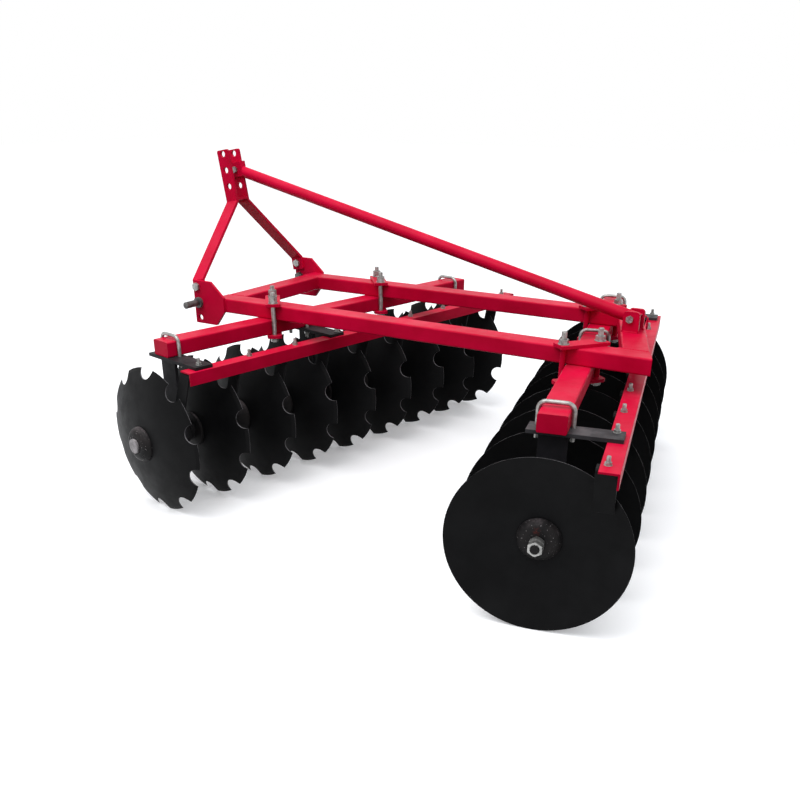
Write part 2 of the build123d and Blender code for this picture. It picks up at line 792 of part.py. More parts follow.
# Bring the middle of the whole machine over the origin and write one file per node
boxes = [shape.bounding_box() for shape in nodes.values()]
shift_x = -(min(b.min.X for b in boxes) + max(b.max.X for b in boxes)) / 2
shift_y = -(min(b.min.Y for b in boxes) + max(b.max.Y for b in boxes)) / 2
shift_z = -min(b.min.Z for b in boxes)
os.makedirs("parts", exist_ok=True)
for node_name, shape in nodes.items():
    export_step(Pos(shift_x, shift_y, shift_z) * shape, "parts/" + node_name + ".step")
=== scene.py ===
import json
import math

import bmesh
import bpy
from mathutils import Matrix, Vector


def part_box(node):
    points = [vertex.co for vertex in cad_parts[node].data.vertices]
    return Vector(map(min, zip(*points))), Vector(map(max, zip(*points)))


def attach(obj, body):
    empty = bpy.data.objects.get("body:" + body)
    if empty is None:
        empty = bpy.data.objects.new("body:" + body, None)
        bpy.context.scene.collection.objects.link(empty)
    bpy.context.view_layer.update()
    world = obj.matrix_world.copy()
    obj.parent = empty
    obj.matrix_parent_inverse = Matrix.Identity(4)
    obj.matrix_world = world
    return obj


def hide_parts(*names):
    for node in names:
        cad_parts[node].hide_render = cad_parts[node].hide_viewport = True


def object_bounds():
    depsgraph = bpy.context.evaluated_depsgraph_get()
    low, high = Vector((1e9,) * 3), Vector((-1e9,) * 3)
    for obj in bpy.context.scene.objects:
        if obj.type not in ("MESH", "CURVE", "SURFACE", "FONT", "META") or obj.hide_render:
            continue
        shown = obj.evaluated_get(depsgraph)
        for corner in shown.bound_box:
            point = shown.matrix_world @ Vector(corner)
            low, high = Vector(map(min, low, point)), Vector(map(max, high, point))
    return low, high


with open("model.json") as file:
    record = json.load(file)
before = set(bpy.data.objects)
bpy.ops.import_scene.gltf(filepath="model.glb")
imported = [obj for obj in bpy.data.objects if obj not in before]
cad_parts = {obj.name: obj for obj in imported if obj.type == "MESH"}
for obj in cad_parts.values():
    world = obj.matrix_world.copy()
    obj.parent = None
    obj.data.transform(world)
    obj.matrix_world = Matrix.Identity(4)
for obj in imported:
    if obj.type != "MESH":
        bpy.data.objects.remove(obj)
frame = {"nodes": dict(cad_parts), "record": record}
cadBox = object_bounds()
nodes = frame["nodes"]
behaviour = frame["record"]["behaviour"]
mergeGap = 0.00001  # metres within which two corners are one
print("frame loaded:", len(nodes), "nodes")


# each gang's axle line: u runs along it, v across it, z up
def gangFrame(joint):
    along = Vector(joint["axis"]).normalized()
    up = Vector((0, 0, 1))
    middle = Vector((joint["pos_m"][0], joint["pos_m"][1], 0))
    turn = Matrix((along, up.cross(along), up)).transposed().to_4x4()
    return Matrix.Translation(middle) @ turn


gangPlace = {joint["child"].split("_")[0]: gangFrame(joint) for joint in behaviour["joints"]}


# the solids of a node, each as its own list of points
def solidsOf(name):
    build = bmesh.new()
    build.from_mesh(nodes[name].data)
    bmesh.ops.remove_doubles(build, verts=build.verts, dist=mergeGap)
    left = set(build.verts)
    solids = []
    while left:
        waiting = [left.pop()]
        points = []
        while waiting:
            vert = waiting.pop()
            points.append(vert.co.copy())
            for edge in vert.link_edges:
                other = edge.other_vert(vert)
                if other in left:
                    left.remove(other)
                    waiting.append(other)
        solids.append(points)
    build.free()
    return solids


# low and high corner round some points, as the machine stands or in a gang's own frame
def boxOf(points, place=Matrix()):
    inward = place.inverted()
    local = [inward @ point for point in points]
    low = Vector((min(p[i] for p in local) for i in range(3)))
    high = Vector((max(p[i] for p in local) for i in range(3)))
    return low, high


# shader trees: a socket is linked, a plain value is set
def plug(tree, value, socket):
    if isinstance(value, bpy.types.NodeSocket):
        tree.links.new(value, socket)
    else:
        socket.default_value = value


def mathNode(tree, operation, first, second=None, clamp=False):
    node = tree.nodes.new("ShaderNodeMath")
    node.operation = operation
    node.use_clamp = clamp
    plug(tree, first, node.inputs[0])
    if second is not None:
        plug(tree, second, node.inputs[1])
    return node.outputs[0]


def vectorNode(tree, operation, first, second):
    node = tree.nodes.new("ShaderNodeVectorMath")
    node.operation = operation
    plug(tree, first, node.inputs[0])
    plug(tree, second, node.inputs[1])
    return node.outputs["Value"]


def mixColor(tree, factor, first, second):
    node = tree.nodes.new("ShaderNodeMix")
    node.data_type = "RGBA"
    for socket, value in zip((node.inputs[0], node.inputs[6], node.inputs[7]), (factor, first, second)):
        plug(tree, value, socket)
    return node.outputs[2]


# soft step from 0 to 1 between two levels
def ramp(tree, source, low, high):
    node = tree.nodes.new("ShaderNodeMapRange")
    node.interpolation_type = "SMOOTHSTEP"
    node.inputs["From Min"].default_value = low
    node.inputs["From Max"].default_value = high
    tree.links.new(source, node.inputs["Value"])
    return node.outputs["Result"]


# straight run from one value to another as the mask goes from 0 to 1
def between(tree, mask, low, high):
    node = tree.nodes.new("ShaderNodeMapRange")
    node.inputs["To Min"].default_value = low
    node.inputs["To Max"].default_value = high
    tree.links.new(mask, node.inputs["Value"])
    return node.outputs["Result"]


def noise(tree, coords, scale, detail=3.0, rough=0.55):
    node = tree.nodes.new("ShaderNodeTexNoise")
    tree.links.new(coords, node.inputs["Vector"])
    for key, value in (("Scale", scale), ("Detail", detail), ("Roughness", rough)):
        plug(tree, value, node.inputs[key])
    return node.outputs["Fac"]


def objectCoords(tree):
    return tree.nodes.new("ShaderNodeTexCoord").outputs["Object"]


def newGroup(name, inputs, outputs):
    group = bpy.data.node_groups.new(name, "ShaderNodeTree")
    for label, value in inputs.items():
        socket = group.interface.new_socket(label, in_out="INPUT", socket_type="NodeSocketFloat")
        socket.default_value = value
    for label, kind in outputs.items():
        group.interface.new_socket(label, in_out="OUTPUT", socket_type=kind)
    return group, group.nodes.new("NodeGroupInput"), group.nodes.new("NodeGroupOutput")


# edge wear: rubbed edges found from the difference between a rounded and the true normal
wearLook = {"samples": 4, "bend": (0.03, 0.22), "patch": (0.52, 0.68), "detail": 5.0, "rough": 0.65}


def edgeWearGroup(look):
    group, take, give = newGroup(
        "edgeWear",
        {"Radius": 0.002, "Break Up": 60.0, "Amount": 0.5},
        {"Mask": "NodeSocketFloat", "Normal": "NodeSocketVector"},
    )
    rounded = group.nodes.new("ShaderNodeBevel")
    rounded.samples = look["samples"]
    group.links.new(take.outputs["Radius"], rounded.inputs["Radius"])
    normal = group.nodes.new("ShaderNodeNewGeometry").outputs["Normal"]
    facing = vectorNode(group, "DOT_PRODUCT", rounded.outputs["Normal"], normal)
    bend = ramp(group, mathNode(group, "SUBTRACT", 1.0, facing), *look["bend"])
    spots = noise(group, objectCoords(group), take.outputs["Break Up"], look["detail"], look["rough"])
    rubbed = mathNode(group, "MULTIPLY", bend, ramp(group, spots, *look["patch"]))
    mask = mathNode(group, "MULTIPLY", rubbed, take.outputs["Amount"], True)
    group.links.new(mask, give.inputs["Mask"])
    group.links.new(rounded.outputs["Normal"], give.inputs["Normal"])
    return group


# dust: pale film that settles on what faces up, in soft patches
filmLook = {"upward": (0.1, 0.9), "patch": (0.4, 0.75), "detail": 6.0, "rough": 0.7}


def dustGroup(look):
    group, take, give = newGroup(
        "dustFilm", {"Patch Scale": 5.0, "Amount": 0.3}, {"Mask": "NodeSocketFloat"}
    )
    split = group.nodes.new("ShaderNodeSeparateXYZ")
    group.links.new(group.nodes.new("ShaderNodeNewGeometry").outputs["Normal"], split.inputs[0])
    upward = ramp(group, split.outputs["Z"], *look["upward"])
    patch = noise(group, objectCoords(group), take.outputs["Patch Scale"], look["detail"], look["rough"])
    film = mathNode(group, "MULTIPLY", upward, ramp(group, patch, *look["patch"]))
    mask = mathNode(group, "MULTIPLY", film, take.outputs["Amount"], True)
    group.links.new(mask, give.inputs["Mask"])
    return group


edgeWear = edgeWearGroup(wearLook)
dustFilm = dustGroup(filmLook)


def useGroup(tree, group, values):
    node = tree.nodes.new("ShaderNodeGroup")
    node.node_tree = group
    for key, value in values.items():
        node.inputs[key].default_value = value
    return node


def newMaterial(name):
    material = bpy.data.materials.new(name)
    material.use_nodes = True
    tree = material.node_tree
    return material, tree, tree.nodes["Principled BSDF"]


def bumpNode(tree, height, strength, distance, normal):
    node = tree.nodes.new("ShaderNodeBump")
    node.inputs["Strength"].default_value = strength
    node.inputs["Distance"].default_value = distance
    tree.links.new(height, node.inputs["Height"])
    tree.links.new(normal, node.inputs["Normal"])
    return node.outputs["Normal"]


# sprayed enamel: colour drifts a little, orange peel in the gloss, chips on the edges
enamelGrain = {
    "drift": (0.3, 0.7), "driftDetail": 4.0, "scuff": (0.35, 0.75), "scuffDetail": 6.0, "scuffRough": 0.7,
    "peelDetail": 2.0, "peelHeight": 0.001,
}


def enamel(name, look):
    grain = enamelGrain
    material, tree, shader = newMaterial(name)
    coords = objectCoords(tree)
    drift = noise(tree, coords, look["driftScale"], grain["driftDetail"])
    color = mixColor(tree, ramp(tree, drift, *grain["drift"]), look["dark"], look["light"])
    wear = useGroup(tree, edgeWear, look["wear"])
    color = mixColor(tree, wear.outputs["Mask"], color, look["chip"])
    dust = useGroup(tree, dustFilm, look["dust"])
    color = mixColor(tree, dust.outputs["Mask"], color, look["dustColor"])
    tree.links.new(color, shader.inputs["Base Color"])
    scuff = noise(tree, coords, look["scuffScale"], grain["scuffDetail"], grain["scuffRough"])
    rough = between(tree, ramp(tree, scuff, *grain["scuff"]), *look["rough"])
    tree.links.new(rough, shader.inputs["Roughness"])
    shader.inputs["Specular IOR Level"].default_value = look["specular"]
    peel = noise(tree, coords, look["peelScale"], grain["peelDetail"])
    normal = bumpNode(tree, peel, look["peel"], grain["peelHeight"], wear.outputs["Normal"])
    tree.links.new(normal, shader.inputs["Normal"])
    return material


# the same enamel with its Base Color socket, for marks that lie over the paint
def markedEnamel(name, look):
    material = enamel(name, look)
    tree = material.node_tree
    base = tree.nodes["Principled BSDF"].inputs["Base Color"]
    return material, tree, base, base.links[0].from_socket


redLook = {
    "dark": (0.47, 0.001, 0.025, 1), "light": (0.58, 0.002, 0.037, 1), "driftScale": 6.0,
    "chip": (0.16, 0.05, 0.05, 1), "wear": {"Radius": 0.0025, "Break Up": 70.0, "Amount": 0.5},
    "dust": {"Patch Scale": 7.0, "Amount": 0.03}, "dustColor": (0.6, 0.42, 0.45, 1),
    "scuffScale": 18.0, "rough": (0.34, 0.48), "specular": 0.055, "peelScale": 420.0, "peel": 0.05,
}
blackLook = {
    "dark": (0.010, 0.010, 0.011, 1), "light": (0.022, 0.021, 0.024, 1), "driftScale": 9.0,
    "chip": (0.14, 0.13, 0.13, 1), "wear": {"Radius": 0.002, "Break Up": 90.0, "Amount": 0.4},
    "dust": {"Patch Scale": 9.0, "Amount": 0.10}, "dustColor": (0.22, 0.20, 0.20, 1),
    "scuffScale": 22.0, "rough": (0.42, 0.58), "specular": 0.1, "peelScale": 380.0, "peel": 0.06,
}
greyLook = {
    **blackLook, "dark": (0.022, 0.021, 0.023, 1), "light": (0.05, 0.048, 0.052, 1),
    "dust": {"Patch Scale": 14.0, "Amount": 0.25},
}
discLook = {
    "dark": (0.0045, 0.0045, 0.0048, 1), "light": (0.0085, 0.0085, 0.009, 1), "driftScale": 5.0,
    "chip": (0.09, 0.085, 0.085, 1), "wear": {"Radius": 0.0016, "Break Up": 45.0, "Amount": 0.55},
    "dust": {"Patch Scale": 8.0, "Amount": 0.06}, "dustColor": (0.16, 0.15, 0.15, 1),
    "scuffScale": 14.0, "rough": (0.44, 0.58), "specular": 0.06, "peelScale": 330.0, "peel": 0.05,
}
castLook = {
    "dark": (0.007, 0.007, 0.0075, 1), "light": (0.016, 0.014, 0.014, 1), "driftScale": 14.0,
    "chip": (0.12, 0.10, 0.10, 1), "wear": {"Radius": 0.003, "Break Up": 60.0, "Amount": 0.35},
    "dust": {"Patch Scale": 12.0, "Amount": 0.55}, "dustColor": (0.15, 0.125, 0.13, 1),
    "scuffScale": 30.0, "rough": (0.5, 0.7), "specular": 0.12, "peelScale": 160.0, "peel": 0.3,
}

# discs: paint has come off the rim and the notch walls, which face away from the axle line
bareRim = {
    "color": (0.15, 0.145, 0.15, 1), "facing": (0.15, 0.45),
    "scale": 16.0, "detail": 4.0, "rough": 0.6, "patch": (0.30, 0.55),
}


def discFinish(gang, rim):
    material, tree, base, paint = markedEnamel(gang + "DiscBlack", discLook)
    normal = tree.nodes.new("ShaderNodeNewGeometry").outputs["True Normal"]
    facing = vectorNode(tree, "DOT_PRODUCT", normal, gangPlace[gang].to_3x3().col[0])
    flat = ramp(tree, mathNode(tree, "ABSOLUTE", facing), *rim["facing"])
    spots = noise(tree, objectCoords(tree), rim["scale"], rim["detail"], rim["rough"])
    edge = mathNode(tree, "SUBTRACT", 1.0, flat)
    bare = mathNode(tree, "MULTIPLY", edge, ramp(tree, spots, *rim["patch"]))
    tree.links.new(mixColor(tree, bare, paint, rim["color"]), base)
    return material


# end washers: castings with a red brush mark and pale specks where the gang end was handled
hubMark = {
    "color": (0.20, 0.030, 0.022, 1), "reach": 0.020, "core": 0.35, "amount": 0.55,
    "scale": 140.0, "detail": 4.0, "rough": 0.7, "patch": (0.46, 0.60),
    "fromEnd": 0.058, "across": 0.004, "up": 0.036,
}
hubSpeck = {
    "color": (0.28, 0.26, 0.26, 1), "scale": 190.0, "detail": 1.0, "rough": 0.4, "patch": (0.70, 0.76),
}


def hubFinish(gang, mark, speck):
    material, tree, base, paint = markedEnamel(gang + "HubCast", castLook)
    coords = objectCoords(tree)
    place = gangPlace[gang]
    low, high = boxOf([point for points in solidsOf(gang + "_axle") for point in points], place)
    at = place @ Vector((low.x + mark["fromEnd"], mark["across"], (low.z + high.z) / 2 + mark["up"]))
    apart = vectorNode(tree, "DISTANCE", coords, at)
    far = ramp(tree, apart, mark["reach"] * mark["core"], mark["reach"])
    brush = noise(tree, coords, mark["scale"], mark["detail"], mark["rough"])
    near = mathNode(tree, "SUBTRACT", 1.0, far)
    stroke = mathNode(tree, "MULTIPLY", near, ramp(tree, brush, *mark["patch"]))
    stroke = mathNode(tree, "MULTIPLY", stroke, mark["amount"])
    color = mixColor(tree, stroke, paint, mark["color"])
    spots = noise(tree, coords, speck["scale"], speck["detail"], speck["rough"])
    color = mixColor(tree, ramp(tree, spots, *speck["patch"]), color, speck["color"])
    tree.links.new(color, base)
    return material


# bare metal: pale zinc with a cloudy tint and dull patches, or darker forged steel
metalGrain = {
    "cloud": (0.32, 0.7), "cloudDetail": 5.0, "cloudRough": 0.65,
    "grainDetail": 3.0, "grain": 0.12, "grainHeight": 0.0006,
}


def bareMetal(name, look):
    grain = metalGrain
    material, tree, shader = newMaterial(name)
    coords = objectCoords(tree)
    spots = noise(tree, coords, look["cloudScale"], grain["cloudDetail"], grain["cloudRough"])
    cloud = ramp(tree, spots, *grain["cloud"])
    color = mixColor(tree, cloud, look["dark"], look["light"])
    wear = useGroup(tree, edgeWear, look["wear"])
    color = mixColor(tree, wear.outputs["Mask"], color, look["grime"])
    tree.links.new(color, shader.inputs["Base Color"])
    shader.inputs["Metallic"].default_value = look["metallic"]
    tree.links.new(between(tree, cloud, *look["rough"]), shader.inputs["Roughness"])
    fine = noise(tree, coords, look["grainScale"], grain["grainDetail"])
    normal = bumpNode(tree, fine, grain["grain"], grain["grainHeight"], wear.outputs["Normal"])
    tree.links.new(normal, shader.inputs["Normal"])
    return material


zincLook = {
    "dark": (0.22, 0.22, 0.21, 1), "light": (0.47, 0.465, 0.45, 1), "cloudScale": 60.0,
    "grime": (0.12, 0.11, 0.10, 1), "wear": {"Radius": 0.0012, "Break Up": 120.0, "Amount": 0.5},
    "metallic": 0.75, "rough": (0.32, 0.5), "grainScale": 700.0,
}
pinLook = {
    **zincLook, "dark": (0.055, 0.05, 0.05, 1), "light": (0.17, 0.165, 0.16, 1), "cloudScale": 55.0,
    "grime": (0.03, 0.028, 0.027, 1), "metallic": 0.5, "rough": (0.4, 0.6),
}
axleLook = {**pinLook, "dark": (0.13, 0.12, 0.125, 1), "light": (0.34, 0.32, 0.325, 1)}

finishes = {
    "red_paint": enamel("redEnamel", redLook),
    "black_paint": enamel("blackEnamel", blackLook),
    "disc_steel": enamel("scraperBlack", discLook),
    "cast_black": enamel("castBlack", castLook),
    "zinc": bareMetal("zincPlate", zincLook),
}
pinSteel = bareMetal("pinSteel", pinLook)
ownFinish = {
    "front_axle": bareMetal("axleSteel", axleLook), "rear_hanger_bars": enamel("greyBar", greyLook),
    "left_link_pin": pinSteel, "right_link_pin": pinSteel,
}
for gang in gangPlace:
    ownFinish[gang + "_end_washers"] = hubFinish(gang, hubMark, hubSpeck)
    ownFinish[gang + "_discs"] = discFinish(gang, bareRim)
    ownFinish[gang + "_scrapers"] = finishes["disc_steel"]
slotOf = {part["node"]: part["material_slot"] for part in frame["record"]["subparts"]}
for name, obj in nodes.items():
    obj.data.materials.clear()
    obj.data.materials.append(ownFinish.get(name, finishes[slotOf[name]]))
print("finishes laid on", len(nodes), "nodes")


# a finished piece rides on its body, wears its slot's finish and takes the place of the nodes it dresses
def finishPiece(build, name, body, slotName, *replaced, smooth=30.0):
    bmesh.ops.remove_doubles(build, verts=build.verts, dist=mergeGap)
    bmesh.ops.recalc_face_normals(build, faces=build.faces)
    mesh = bpy.data.meshes.new(name)
    build.to_mesh(mesh)
    build.free()
    mesh.shade_smooth()
    mesh.set_sharp_from_angle(angle=math.radians(smooth))
    mesh.materials.append(finishes[slotName])
    piece = bpy.data.objects.new(name, mesh)
    bpy.context.scene.collection.objects.link(piece)
    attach(piece, body)
    if replaced:
        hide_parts(*replaced)


# fasteners are laid out along local z and set in place by a matrix; most values are shares
boltLook = {
    "sides": 24, "endChamfer": 0.12, "endGap": 0.001, "nutCone": 0.55, "boreCone": 0.12, "cornerFrom": 1.01,
    "washerBevel": 0.25, "threadSteps": 14, "threadRise": 0.30, "threadRoot": 1.004,
}
quarterTurn = Matrix.Rotation(math.radians(90), 4, "Y")  # lays local z along x


def cornersIn(made):
    return [item for item in made if isinstance(item, bmesh.types.BMVert)]


# one more ring of a tube: its new corners and its new open edges
def growRing(build, edges):
    made = bmesh.ops.extrude_edge_only(build, edges=edges)["geom"]
    return cornersIn(made), [item for item in made if isinstance(item, bmesh.types.BMEdge)]


def circleOf(build, radius):
    return bmesh.ops.create_circle(build, segments=boltLook["sides"], radius=radius)["verts"]


# the flat between an outer and an inner circle, drawn up: the upper corners
def drawUp(build, outer, inner):
    loops = list({edge for vert in outer + inner for edge in vert.link_edges})
    faces = bmesh.ops.bridge_loops(build, edges=loops)["faces"]
    return cornersIn(bmesh.ops.extrude_face_region(build, geom=faces)["geom"])


def addShank(build, place, radius, low, high):
    made = bmesh.ops.create_cone(
        build, cap_ends=True, segments=boltLook["sides"], radius1=radius, radius2=radius, depth=high - low,
        matrix=place @ Matrix.Translation((0, 0, (low + high) / 2)),
    )
    edges = {edge for vert in made["verts"] for edge in vert.link_edges}
    rims = [edge for edge in edges if any(len(face.verts) > 4 for face in edge.link_faces)]
    bmesh.ops.bevel(
        build, geom=rims, offset=radius * boltLook["endChamfer"],
        affect="EDGES", segments=1, profile=0.5, material=-1,
    )


# chamfered hexagon nut: corners fall away from the flats on both faces
def addNut(build, place, flats, bore, low, high):
    outer = circleOf(build, flats / 2)
    for vert in outer:
        turned = math.atan2(vert.co.y, vert.co.x) % math.radians(60) - math.radians(30)
        vert.co *= 1 / math.cos(turned)
    inner = circleOf(build, bore)
    top = drawUp(build, outer, inner)
    bottom = outer + inner
    for verts, level, sign in ((bottom, low, 1), (top, high, -1)):
        for vert in verts:
            reach = math.hypot(vert.co.x, vert.co.y)
            fall = max(0.0, reach - flats / 2 * boltLook["cornerFrom"]) * boltLook["nutCone"]
            if reach < bore * boltLook["cornerFrom"]:
                fall = (flats / 2 - bore) * boltLook["boreCone"]
            vert.co.z = level + sign * fall
    bmesh.ops.transform(build, matrix=place, verts=bottom + top)


def addWasher(build, place, inner, outer, low, high):
    ring = circleOf(build, outer)
    hole = circleOf(build, inner)
    top = drawUp(build, ring, hole)
    bmesh.ops.translate(build, verts=ring + hole, vec=(0, 0, low))
    bmesh.ops.translate(build, verts=top, vec=(0, 0, high))
    middle = (inner + outer) / 2
    rimVerts = {vert for vert in ring + top if math.hypot(vert.co.x, vert.co.y) > middle}
    edges = {edge for vert in rimVerts for edge in vert.link_edges if edge.other_vert(vert) in rimVerts}
    rims = [edge for edge in edges if (edge.verts[0] in ring) == (edge.verts[1] in ring)]
    made = bmesh.ops.bevel(
        build, geom=rims, offset=(high - low) * boltLook["washerBevel"],
        affect="EDGES", segments=1, profile=0.5, material=-1,
    )
    verts = set(made["verts"]) | {vert for vert in ring + hole + top if vert.is_valid}
    bmesh.ops.transform(build, matrix=place, verts=list(verts))


# rolled thread: one ridge spun up the shank as a screw
def addThread(build, place, radius, pitch, low, high):
    turns = max(1, int((high - low) / pitch) - 1)
    root = radius * boltLook["threadRoot"]
    crest = root + pitch * boltLook["threadRise"]
    profile = ((root, 0, low), (crest, 0, low + pitch / 2), (root, 0, low + pitch))
    line = [build.verts.new(corner) for corner in profile]
    edges = [build.edges.new(pair) for pair in zip(line, line[1:])]
    before = set(build.verts)
    steps = boltLook["threadSteps"]
    bmesh.ops.spin(
        build, geom=line + edges, cent=(0, 0, 0), axis=(0, 0, 1), dvec=(0, 0, pitch / steps),
        angle=2 * math.pi * turns, steps=turns * steps, use_merge=False,
    )
    made = [vert for vert in build.verts if vert not in before] + line
    bmesh.ops.transform(build, matrix=place, verts=made)


# the nut end of a bolt: washer on the seat, nut, a lock nut if there is one, and the thread past it
def addNutEnd(build, place, size, seat, end, lockNut=0.0):
    nutStart = seat + size["washer"]
    nutEnd = nutStart + size["nut"]
    addWasher(build, place, size["radius"], size["washerRadius"], seat, nutStart)
    addNut(build, place, size["flats"], size["radius"], nutStart, nutEnd)
    if lockNut:
        addNut(build, place, size["flats"], size["radius"], nutEnd, nutEnd + lockNut)
    addThread(build, place, size["radius"], size["pitch"], nutEnd + lockNut, end - boltLook["endGap"])


# the middle line of an upright bolt
def uprightAt(low, high):
    return Matrix.Translation(((low.x + high.x) / 2, (low.y + high.y) / 2, 0))


# long studs of the beam clamps, one nut below and one above, with a lock nut on the front gang
clampBolt = {
    "radius": 0.009, "flats": 0.030, "nut": 0.015, "topRise": 0.044, "bottomRise": 0.019,
    "washer": 0.003, "washerRadius": 0.020, "pitch": 0.0025, "lockNut": {"front": 0.009, "rear": 0.0},
}


def clampBolts(gang):
    size = clampBolt
    build = bmesh.new()
    for points in solidsOf(gang + "_clamp_bolts"):
        low, high = boxOf(points)
        place = uprightAt(low, high)
        under = low.z + size["bottomRise"]
        addShank(build, place, size["radius"], low.z, high.z)
        addNutEnd(build, place, size, high.z - size["topRise"], high.z, size["lockNut"][gang])
        addNut(build, place, size["flats"], size["radius"], under - size["nut"], under)
    finishPiece(build, gang + "ClampStuds", "frame", "zinc", gang + "_clamp_bolts")


# scraper bolts stand up through the angle with their nut on top
scraperBolt = {
    "radius": 0.006, "flats": 0.018, "nut": 0.008, "topRise": 0.026, "head": 0.010, "headCore": 0.0036,
    "washer": 0.0015, "washerRadius": 0.0115, "pitch": 0.00175,
}


def scraperBolts(gang):
    size = scraperBolt
    build = bmesh.new()
    for points in solidsOf(gang + "_scraper_bolts"):
        low, high = boxOf(points)
        place = uprightAt(low, high)
        addShank(build, place, size["radius"], low.z + boltLook["endGap"], high.z)
        addNutEnd(build, place, size, high.z - size["topRise"], high.z)
        addNut(build, place, size["flats"], size["headCore"], low.z, low.z + size["head"])
    finishPiece(build, gang + "ScraperBolts", "frame", "zinc", gang + "_scraper_bolts")


# cross bolts of the mast and the brace, head on the left and nut on the right, as shares of their radius
crossBolt = {
    "radius": 1.0, "flats": 3.0, "head": 1.3, "headCore": 0.5, "nut": 1.6, "tail": 2.4,
    "washer": 0.25, "washerRadius": 2.1, "pitch": 0.22,
}
crossBoltRadius = {"mast_foot_bolts": 0.010, "brace_front_bolt": 0.008, "brace_rear_bolt": 0.008}


def crossBolts(node, radius):
    size = {key: share * radius for key, share in crossBolt.items()}
    build = bmesh.new()
    for points in solidsOf(node):
        low, high = boxOf(points)
        middle = (low + high) / 2
        place = Matrix.Translation((0, middle.y, middle.z)) @ quarterTurn
        addShank(build, place, radius, low.x + boltLook["endGap"], high.x)
        addNut(build, place, size["flats"], size["headCore"], low.x, low.x + size["head"])
        addNutEnd(build, place, size, high.x - size["tail"], high.x)
    finishPiece(build, node.title().replace("_", "") + "Dressed", "frame", "zinc", node)


# U bolts over the gang beams: a bent rod with a nut and washer on each leg under the bar
uBolt = {
    "radius": 0.007, "sides": 16, "legOut": 0.0535, "bend": 0.024, "bendSteps": 6, "tail": 0.030,
    "flats": 0.022, "nut": 0.011, "washer": 0.0025, "washerRadius": 0.0155, "pitch": 0.002,
}


# rod up one leg, over the crown and down the other
def addBentRod(build, place, size, low, crown):
    start = bmesh.ops.create_circle(
        build, cap_ends=True, segments=size["sides"], radius=size["radius"],
        matrix=Matrix.Translation((0, size["legOut"], low)),
    )["verts"]
    made = list(start)
    edges = list(start[0].link_faces[0].edges)
    elbow = crown - size["bend"]
    inside = size["legOut"] - size["bend"]
    step = Matrix.Rotation(math.radians(90 / size["bendSteps"]), 3, "X")
    runs = [
        ((0, 0, elbow - low), (0, inside, elbow)),
        ((0, -2 * inside, 0), (0, -inside, elbow)),
        ((0, 0, low - elbow), None),
    ]
    for shift, centre in runs:
        verts, edges = growRing(build, edges)
        bmesh.ops.translate(build, verts=verts, vec=shift)
        made += verts
        for i in range(size["bendSteps"] if centre else 0):
            verts, edges = growRing(build, edges)
            bmesh.ops.rotate(build, verts=verts, cent=centre, matrix=step)
            made += verts
    bmesh.ops.contextual_create(build, geom=edges)
    bmesh.ops.transform(build, matrix=place, verts=made)


def uBolts(gang):
    size = uBolt
    place = gangPlace[gang]
    build = bmesh.new()
    for points in solidsOf(gang + "_u_bolts"):
        low, high = boxOf(points, place)
        at = place @ uprightAt(low, high)
        addBentRod(build, at, size, low.z, high.z - size["radius"])
        seat = low.z + size["tail"]
        nutTop = seat - size["washer"]
        nutLow = nutTop - size["nut"]
        for side in (size["legOut"], -size["legOut"]):
            leg = at @ Matrix.Translation((0, side, 0))
            addWasher(build, leg, size["radius"], size["washerRadius"], nutTop, seat)
            addNut(build, leg, size["flats"], size["radius"], nutLow, nutTop)
            addThread(build, leg, size["radius"], size["pitch"], low.z + boltLook["endGap"], nutLow)
    finishPiece(build, gang + "UBolts", "frame", "zinc", gang + "_u_bolts", smooth=40.0)


# axle nuts: a nut and its lock nut on the threaded end of each gang
axleNut = {"flats": 0.042, "bore": 0.014}


def axleNuts(gang):
    place = gangPlace[gang]
    build = bmesh.new()
    for points in solidsOf(gang + "_axle_nuts"):
        low, high = boxOf(points, place)
        middle = (low + high) / 2
        at = place @ Matrix.Translation((0, middle.y, middle.z)) @ quarterTurn
        addNut(build, at, axleNut["flats"], axleNut["bore"], low.x, high.x)
    finishPiece(build, gang + "AxleNuts", gang + "_gang", "zinc", gang + "_axle_nuts")


# the rear clamp studs get a red sleeve over their shanks between the two plates
studSleeve = {"skin": 0.0004}


def rearStudRedSleeve():
    build = bmesh.new()
    for points in solidsOf("rear_clamp_bolts"):
        low, high = boxOf(points)
        seat = high.z - clampBolt["topRise"]
        under = low.z + clampBolt["bottomRise"]
        addShank(build, uprightAt(low, high), clampBolt["radius"] + studSleeve["skin"], under, seat)
    finishPiece(build, "rearStudRedSleeve", "frame", "red_paint")


# weld beads: a rippled run of round scales laid along each joint
beadLook = {
    "radius": 0.0042, "wide": 0.005, "step": 0.0045, "sides": 8, "ripple": 0.2, "end": 0.45, "smooth": 60.0,
}


def addBead(build, start, end, radius=beadLook["radius"]):
    start, end = Vector(start), Vector(end)
    run = end - start
    steps = max(4, int(run.length / beadLook["step"]))
    turn = run.to_track_quat("Z", "Y").to_matrix().to_4x4()
    size = radius * beadLook["end"]
    first = bmesh.ops.create_circle(
        build, cap_ends=True, segments=beadLook["sides"], radius=size,
        matrix=Matrix.Translation(start) @ turn,
    )["verts"]
    edges = list(first[0].link_faces[0].edges)
    for i in range(1, steps + 1):
        verts, edges = growRing(build, edges)
        share = 1.0 - beadLook["ripple"] * (i % 2) if i < steps else beadLook["end"]
        centre = start + run * ((i - 1) / steps)
        grow = radius * share / size
        bmesh.ops.scale(build, verts=verts, vec=(grow, grow, grow), space=Matrix.Translation(-centre))
        bmesh.ops.translate(build, verts=verts, vec=run / steps)
        size = radius * share
    bmesh.ops.contextual_create(build, geom=edges)


# how far the frame's beads stay inside the tube corners and short of the ends of each joint
frameWeld = {
    "corner": 0.003, "end": 0.004, "upright": 0.002, "foot": 0.005, "heel": 0.010, "front": 0.003,
    "lugEnd": 0.002, "lugRise": 0.001,
}


